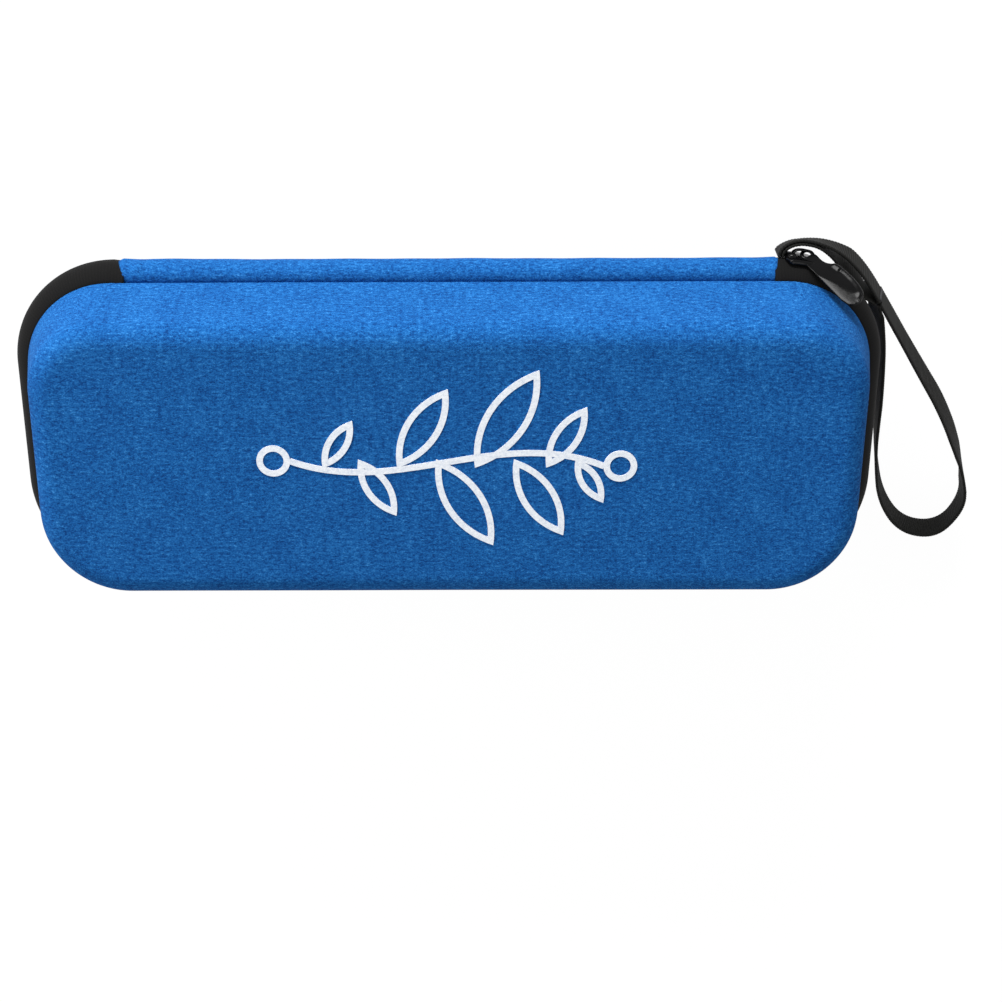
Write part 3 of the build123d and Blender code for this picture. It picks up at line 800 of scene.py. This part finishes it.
def bridge_grid():
    """An arch: a rounded-oblong line, the superellipse of power 2.6 from foot to foot, with
    an oblong section that is widest at the feet."""
    t = np.linspace(0, math.pi, 41)
    line = np.c_[-BRIDGE_HALF * squared(np.cos(t), 2 / 2.6),
                 BRIDGE_FOOT + BRIDGE_RISE * squared(np.sin(t), 2 / 2.6)]
    way = unit(np.gradient(line, axis=0))
    across = np.c_[-way[:, 1], way[:, 0]]
    a = np.arange(16) / 16 * 2 * math.pi
    thick = BRIDGE_T * squared(np.cos(a), 0.7)
    wide = (0.95 + 0.45 * np.abs(np.cos(t)) ** 3)[:, None] * squared(np.sin(a), 0.7)
    at = line[:, None] + across[:, None] * thick[None, :, None]
    return moved(SLIDE_AT, (at[..., 0], SLIDE_ALONG), (at[..., 1], SLIDE_OUT), (wide, UPWARD))


carried_piece("slider_bridge", bridge_grid(), black_zinc, "slider", "black_zinc",
              "slider_crown")

# A foot is a low dome: rings that shrink with the cosine as they rise with the sine.
round_foot = np.arange(20) / 20 * 2 * math.pi
up_dome = np.linspace(-0.5, math.pi / 2, 12)[:, None]
foot_ring = np.maximum(np.cos(up_dome), 1e-4)
for foot_name, foot_at, foot_half in (("left", -3.3, 1.7), ("right", 2.9, 1.35)):
    carried_piece("bridge_foot_" + foot_name, moved(
        SLIDE_AT, (foot_at + foot_half * foot_ring * np.cos(round_foot), SLIDE_ALONG),
        (DOME_FOOT + DOME_RISE * np.sin(up_dome), SLIDE_OUT),
        (DOME_UP + DOME_HALF_UP * foot_ring * np.sin(round_foot), UPWARD)),
        black_zinc, "slider", "black_zinc")

# ---- zip puller
# A cast zinc tab in the same black: a round eye, a short waist, and a pad that widens to a
# round end, with a raised rim and a boss along one edge and a bevel along the other.
PULL_WAY = np.array([0.6278, -0.3857, 0.6761])
PULL_WAY /= np.linalg.norm(PULL_WAY)
PULL_FACE = np.array([0.0307, 0.8802, 0.4736])
PULL_FACE -= PULL_WAY * PULL_FACE.dot(PULL_WAY)
PULL_FACE /= np.linalg.norm(PULL_FACE)
PULL_SIDE = np.cross(PULL_FACE, PULL_WAY)
PULL_SIDE *= np.sign(PULL_SIDE[2])
PULL_OUT = 2.4
PULL_FROM = SLIDE_AT + SLIDE_OUT * PULL_OUT
# Distances along the pad, each with the places of the two edges there.
PAD_EDGES = np.array([
    (2.3, -2.3, 1.6), (3.7, -2.5, 2.9), (5.0, -2.2, 3.3), (6.6, -2.1, 3.5), (8.0, -2.5, 3.6),
    (9.3, -3.8, 3.8), (10.3, -4.5, 3.9), (11.5, -4.7, 4.0), (14.0, -4.5, 4.2),
    (18.0, -4.0, 4.5), (21.0, -3.2, 4.7), (23.6, -2.0, 4.4), (24.8, -0.7, 3.2),
    (25.3, 0.9, 1.3)])
PAD_START, PAD_LONG, PAD_TIP = 2.3, 23.0, 25.3
PAD_HALF_T, RIM_REACH, RIM_SLOPE, RIM_FROM = 0.30, 1.95, 0.5, 12.8
BOSS_AT, BOSS_HALF, BOSS_EDGE, BOSS_SLOPE = 11.0, 1.6, -1.9, 0.45
BEVEL_FROM, BEVEL_EDGE, BEVEL_SLANT, BEVEL_SLOPE = 12.0, 3.1, 0.36, 0.24
EYE_AT, EYE_SIDE, EYE_LONG, EYE_WIDE, EYE_WIRE, EYE_HALF_T = 1.5, -0.4, 1.05, 1.15, 0.6, 0.33


def pad_grid():
    """The pad as a closed grid: along it, the two sides of the outline; round it, a flat
    oval section. Its thickness is a thin plate, plus a rim by one edge that falls inward by
    a constant slope, plus a boss at the shoulder. The other edge is bevelled."""
    along = PAD_START + (1 - np.cos(np.linspace(0, math.pi, 90))) / 2 * PAD_LONG
    edges = read_at(along, PAD_EDGES[:, 0], PAD_EDGES[:, 1:])
    kernel = np.array([1, 2, 3, 2, 1]) / 9
    lower, upper = (np.r_[edge[:2], np.convolve(edge, kernel, "valid"), edge[-2:]][:, None]
                    for edge in edges.T)
    along = along[:, None]
    phi = np.arange(64) / 64 * 2 * math.pi
    across, above = squared(np.cos(phi), 0.45), squared(np.sin(phi), 0.45)
    side = (lower + upper) / 2 + (upper - lower) / 2 * across
    edge_gap = (1 + across) * (upper - lower) / 2
    inside = 1 / (1 + np.exp(-(along - RIM_FROM) / 0.15))
    bead = PAD_HALF_T + RIM_SLOPE * np.clip(RIM_REACH - edge_gap, 0, 1.15) * inside
    shoulder = 1 / (1 + np.exp((np.abs(along - BOSS_AT) - BOSS_HALF) / 0.12))
    boss = BOSS_SLOPE * np.clip(BOSS_EDGE - side, 0, 1.5) * shoulder
    bevel = BEVEL_SLOPE * np.clip(side - BEVEL_EDGE + (along - BEVEL_FROM) * BEVEL_SLANT, 0, 6)
    tip_round = np.sqrt(np.clip((PAD_TIP - along) / 0.5, 0.02, 1))
    face = (bead + boss * (above > 0)) * above * tip_round - bevel
    return moved(PULL_FROM, (along, PULL_WAY), (side, PULL_SIDE), (face, PULL_FACE))


def eye_grid():
    """The eye: an oval ring round the hole, of a flat oval section."""
    a = np.arange(40)[:, None] / 40 * 2 * math.pi
    b = np.arange(14) / 14 * 2 * math.pi
    swing = EYE_WIRE + EYE_WIRE * np.cos(b)
    return moved(PULL_FROM, (EYE_AT + np.cos(a) * (EYE_LONG + swing), PULL_WAY),
                 (EYE_SIDE + np.sin(a) * (EYE_WIDE + swing), PULL_SIDE),
                 (EYE_HALF_T * np.sin(b), PULL_FACE))


puller_black = glossy_zinc("puller_black", 0.08)
carried_piece("puller_pad", pad_grid(), puller_black, "puller", "black_zinc", "zip_puller")
carried_piece("puller_eye", eye_grid(), puller_black, "puller", "black_zinc", ring=True)

# ---- leaf print
# A thin white film pressed on the lid: a plain sprig of leaves. It is the CAD part itself,
# finished as matt printing film, with the weave showing through as a slight grain.
finish_cad(patterned("white_film", object_place, [
    (0.6, grain, 900, 3.0, 0.6), (0.4, grain, 2600, 2.0, 0.6)],
    [(0.3, 196, 206, 222), (0.5, 226, 231, 238), (0.7, 242, 244, 248)], 0.6, 0.0001),
    "front_print")

# ---- mesh pocket
# Stretched knitted net across the zip side of the lid's inside, sewn under a tape hem along
# its round side, with a gathered elastic along its straight top edge.
NET_HALF = 118.0
NET_LOW = -39.5
NET_TOP = 8.0
NET_ROUND = 22.0
NET_ACROSS, NET_DOWN = 98, 20
NET_UP = 37.85
NET_HOLE = 0.66
YARN_T = 0.4
ELASTIC_LOW, ELASTIC_HIGH = 4.05, 7.95
ELASTIC_DOWN, ELASTIC_UP = 36.75, 37.55
HEM_OUTSIDE = 6.25
HEM_WIDE = 4.6
HEM_STRAIGHT = 114.5


def net_grid():
    """Open mesh cells: a grid of cells of 2.4 mm, drawn in at the two lower corners by a
    circle, each cell a frame of four strips round a hole of two thirds its size. The net
    sags by a low sine both ways. Returns points and quads."""
    t = np.linspace(-1, 1, NET_ACROSS + 1)[:, None]
    x = NET_HALF * t + np.zeros((1, NET_DOWN + 1))
    past = np.clip(np.abs(x) - (NET_HALF - NET_ROUND), 0, NET_ROUND * 0.985)
    low = NET_LOW + NET_ROUND - np.sqrt(NET_ROUND ** 2 - past ** 2)
    y = low + (NET_TOP - 1.0 - low) * np.linspace(0, 1, NET_DOWN + 1)[None]
    z = NET_UP + 0.12 * np.sin(x / 40) * np.sin(y / 15)
    grid = np.stack([x, y, z], -1)
    corner = np.stack([grid[:-1, :-1], grid[1:, :-1], grid[1:, 1:], grid[:-1, 1:]], 2)
    centre = corner.mean(2, keepdims=True)
    hole = centre + (corner - centre) * NET_HOLE
    points = np.concatenate([corner, hole], 2).reshape(-1, 3)
    cells_from = np.arange(NET_ACROSS * NET_DOWN)[:, None, None] * 8
    k = np.arange(4)[None, :, None]
    quad = np.concatenate([k, (k + 1) % 4, (k + 1) % 4 + 4, k + 4], 2)
    return points, (cells_from + quad).reshape(-1, 4)


net_points, net_quads = net_grid()
net_mesh = bpy.data.meshes.new("pocket_mesh")
net_mesh.from_pydata((net_points * MM).tolist(), [], net_quads.tolist())
merge_doubles(net_mesh)
net_mesh.materials.append(patterned(
    "net_yarn", object_place, [(1, grain, 1500)], [(0.3, 22, 22, 24), (0.8, 46, 46, 50)],
    0.75, 0.0001, sheen=0.1, bump=[(1, grain, 4000)]))
net = put("pocket_mesh", net_mesh)
net_wall = net.modifiers.new("yarn_thickness", "SOLIDIFY")
net_wall.thickness = YARN_T * MM
net_wall.offset = 0
settle(net, "front_half", "net", "pocket_net")

# Black knitted elastic: close ribs along its length, pulled into small gathers by two sines.
elastic_knit = patterned("elastic_knit", flat_cloth, [
    (0.5, ribs, 0.42, "Y"), (0.4, ribs, 0.3, "X", 0.6), (0.3, grain, 1.0)],
    [(0.3, 20, 20, 22), (0.9, 46, 46, 50)], 0.85, 0.0002, 0.2, 0.1)
elastic_x = np.linspace(-NET_HALF, NET_HALF, 400)[:, None]
elastic_y, elastic_z = rounded([
    (ELASTIC_LOW, ELASTIC_DOWN), (ELASTIC_HIGH, ELASTIC_DOWN),
    (ELASTIC_HIGH, ELASTIC_UP), (ELASTIC_LOW, ELASTIC_UP)], 0.3).T
gather = 0.16 * np.sin(elastic_x * 2 * math.pi / 3.4) + 0.06 * np.sin(elastic_x * 1.1 + 1)
elastic = carried_piece("pocket_edge", np.stack([
    elastic_x + 0 * elastic_y, elastic_y + gather * np.clip((6.6 - elastic_y) / 4, 0, 1),
    elastic_z + 0.5 * gather * (ELASTIC_UP - elastic_z)], -1),
    elastic_knit, "front_half", "net", "pocket_elastic")

# The hem follows the rim inside the lid. Its share is the way from its outer to its inner
# edge, and its rise the height, at each point of its section.
ring_base, ring_normal = rim_ring()
hem_kept = ring_base[:, 1] <= NET_TOP
hem_base, hem_normal = ring_base[hem_kept], ring_normal[hem_kept]
hem_outer = hem_base - HEM_OUTSIDE * hem_normal
hem_inner = np.stack([np.clip(hem_outer[:, 0], -HEM_STRAIGHT, HEM_STRAIGHT),
                      np.maximum(hem_outer[:, 1], NET_LOW)], 1)
hem_narrow = np.linalg.norm(hem_outer - hem_inner, axis=1) < HEM_WIDE
hem_inner = np.where(hem_narrow[:, None], hem_outer - HEM_WIDE * hem_normal, hem_inner)
hem_share = np.array([0, 0.04, 0.1, 0.5, 0.9, 0.96, 1])
hem_share = np.r_[hem_share, hem_share[::-1]]
hem_rise = np.array([38.35, 38.2, 38.12, 38.14, 38.12, 38.2, 38.35,
                     38.8, 39.0, 39.06, 39.08, 39.06, 39.0, 38.8])
hem_points = np.concatenate([
    hem_outer[:, None] + (hem_inner - hem_outer)[:, None] * hem_share[None, :, None],
    np.broadcast_to(hem_rise[None, :, None], (len(hem_outer), len(hem_rise), 1))], 2)
hem = carried_piece("pocket_tape", hem_points, binding_weave, "front_half", "binding_tape",
                    "pocket_hem")

# ---- wrist strap
# Ribbed nylon webbing, 10 mm wide, on edge. Its two ends lie together in a doubled root
# that is sewn in at the end of the zip, and the loop hangs out to the side and down.
WEB_T = 1.1
WEB_HALF = 5.0
RIB_SHARE = 0.10
WEB_STEP = 0.2
TACK_R = 0.17
OUTER_LAYER, INNER_LAYER = (-0.57, 0), (0.57, 2.5)
BOW_FROM, BOW_RISE = 11, 14
BOW_UNTIL, BOW_FALL = 36.5, 7
TACK_FROM, TACK_TO, TACK_SWING = 41.2, 43.6, 4.1
ROOT_ROUTE = [
    (0.1052, 0.0559, 0.0304), (0.1054, 0.0578, 0.0304), (0.1108, 0.0602, 0.0304),
    (0.1213, 0.0586, 0.0304), (0.1310, 0.0526, 0.0304), (0.1379, 0.0413, 0.0301)]
LOOP_ROUTE = [
    (0.1385, 0.0416, 0.0301), (0.1458, 0.0301, 0.0272), (0.1557, 0.0146, 0.0232),
    (0.1662, -0.0013, 0.0190), (0.1751, -0.0203, 0.0141), (0.1783, -0.0305, 0.0113),
    (0.1803, -0.0415, 0.0083), (0.1737, -0.0537, 0.0054), (0.1603, -0.0519, 0.0059),
    (0.1507, -0.0387, 0.0093), (0.1465, -0.0212, 0.0139), (0.1446, -0.0062, 0.0178),
    (0.1428, 0.0114, 0.0224), (0.1403, 0.0288, 0.0269), (0.1371, 0.0386, 0.0294),
    (0.1374, 0.0410, 0.0301)]
# Distances along the two lines, each with the way of the webbing's width there.
ROOT_WIDTHS = np.array([
    (0, 0, 0.3, 0.95), (8, 0, 0.25, 0.97), (16, -0.08, 0.05, 0.99),
    (25, -0.28, -0.1, 0.95), (43, -0.3, -0.1, 0.95)])
LOOP_WIDTHS = np.array([
    (0, -.319, -.116, .965), (20, -.3, -.2, .965), (50, -.37, -.31, .965),
    (64, -.37, -.29, .965), (72, -.3, -.26, .965), (78, -.17, -.24, .965),
    (88, -.04, -.21, .965), (96, -.1, -.2, .965), (104, -.18, -.19, .965),
    (115, -.18, -.19, .965), (130, -.25, -.2, .965), (145, -.24, -.266, .965),
    (165, -.123, -.259, .965), (180, .05, -.24, .965), (210, .18, -.2, .965),
    (216, .28, -.18, .94), (222, -.05, -.1, .98)])
OVAL_SIDE = np.array([-1, -0.985, -0.94, -0.8, -0.5, 0, 0.5, 0.8, 0.94, 0.985])
OVAL_THICK = np.array([0, 0.6, 0.9, 1, 1, 1, 1, 1, 0.9, 0.6])


def smooth_line(name, route):
    """The points, in mm, of the smooth NURBS line of order 3 that the route controls."""
    curve = bpy.data.curves.new(name, "CURVE")
    curve.dimensions = "3D"
    curve.resolution_u = 24
    spline = curve.splines.new("NURBS")
    spline.points.add(len(route) - 1)
    spline.points.foreach_set("co", np.c_[route, np.ones(len(route))].ravel())
    spline.order_u = 3
    spline.use_endpoint_u = True
    holder = put(name, curve)
    bpy.context.view_layer.update()
    mesh = bpy.data.meshes.new_from_object(holder)
    points = np.empty(len(mesh.vertices) * 3)
    mesh.vertices.foreach_get("co", points)
    bpy.data.objects.remove(holder)
    bpy.data.curves.remove(curve)
    bpy.data.meshes.remove(mesh)
    return points.reshape(-1, 3) / MM


def strap_ways(line, width_stops):
    """A line in mm in even short steps, with the ways of the webbing's face and width at
    each step: width_stops give the width's way at distances along it."""
    walked = distance(line)
    s = np.linspace(0, walked[-1], int(walked[-1] / WEB_STEP) + 1)
    at = read_at(s, walked, line)
    along = np.gradient(at, axis=0)
    padded = np.vstack([along[:1].repeat(4, 0), along, along[-1:].repeat(4, 0)])
    along = unit(np.stack([np.convolve(padded[:, k], np.ones(9) / 9, "valid")
                           for k in range(3)], 1))
    wide = read_at(s, width_stops[:, 0], width_stops[:, 1:])
    wide = unit(wide - along * (wide * along).sum(1)[:, None])
    return s, at, np.cross(along, wide), wide


def smooth_step(s, start, length):
    """0 up to start, 1 from a length past it, and a cubic step between."""
    share = np.clip((s - start) / length, 0, 1)
    return share ** 2 * (3 - 2 * share)


def layer_off(s, off, bow):
    """How far a layer lies off its line: off, and a bow between the zip and the bar tack, a
    smooth step out and one back."""
    return off + bow * (smooth_step(s, BOW_FROM, BOW_RISE)
                        * (1 - smooth_step(s, BOW_UNTIL, BOW_FALL)))


def webbing(name, line, width_stops, layer, *stands_for):
    """Flat webbing carried along a line, off it along the face's way by a layer's off and
    bow. The section is a flat oval, and its thickness swells with the cosine of the
    distance, one rib each mm."""
    s, at, face, wide = strap_ways(line, width_stops)
    at = at + face * layer_off(s, *layer)[:, None]
    side, thick = np.r_[OVAL_SIDE, 1, -OVAL_SIDE[1:]], np.r_[OVAL_THICK, 0, -OVAL_THICK[1:]]
    swell = WEB_T / 2 * (1 - RIB_SHARE + RIB_SHARE * np.cos(s * 2 * math.pi))
    grid = (at[:, None] + wide[:, None] * side[None, :, None] * WEB_HALF
            + face[:, None] * (swell[:, None] * thick[None])[..., None])
    return carried_piece(name, grid, strap_webbing, "rear_half", "strap_webbing", *stands_for)


def tack_grid():
    """Thread zigzagging across the doubled webbing, as a triangle wave along the root's
    line, first on one face and then back on the other."""
    _, at, face, wide = strap_ways(root_line, ROOT_WIDTHS)
    fine = np.linspace(TACK_FROM, TACK_TO, 160)
    at, face, wide = (read_at(fine, np.arange(len(at)) * WEB_STEP, field)
                      for field in (at, face, wide))
    phase = (fine - TACK_FROM) / (TACK_TO - TACK_FROM)
    wave = 2 / math.pi * np.arcsin(np.sin(phase * 16 * math.pi))
    ease = WEB_T / 2 + 0.10 - 0.2 * (np.abs(wave) > 0.93)
    rows = [tube_grid(at + face * lift[:, None] + wide * (TACK_SWING * wave)[:, None], TACK_R,
                      (0.5, 0.6, 0.3))
            for lift in (layer_off(fine, *OUTER_LAYER) - ease,
                         layer_off(fine, *INNER_LAYER) + ease)]
    return np.concatenate([rows[0], rows[1][::-1]])


# Soot-black nylon webbing: cross ribs of close warp cords, with a soft sheen.
strap_webbing = patterned("strap_webbing", flat_cloth, [
    (0.5, ribs, 0.318, "X"), (0.3, ribs, 0.8, "Y", 0.4), (0.35, grain, 1.6, 2.0, 0.6)],
    [(0.3, 8, 8, 7), (0.95, 25, 25, 23)], 0.75, 0.00016, 0.14, 0.01)
root_line = smooth_line("root_line", ROOT_ROUTE)
webbing("strap_root_outer", root_line, ROOT_WIDTHS, OUTER_LAYER, "strap_root")
webbing("strap_root_inner", root_line, ROOT_WIDTHS, INNER_LAYER)
loop_line = smooth_line("loop_line", LOOP_ROUTE)
loop = webbing("strap_loop_webbing", loop_line, LOOP_WIDTHS, (0, 0), "strap_loop")
tack = carried_piece("strap_bar_tack", tack_grid(), black_thread, "rear_half", "thread",
                     "strap_stitches")
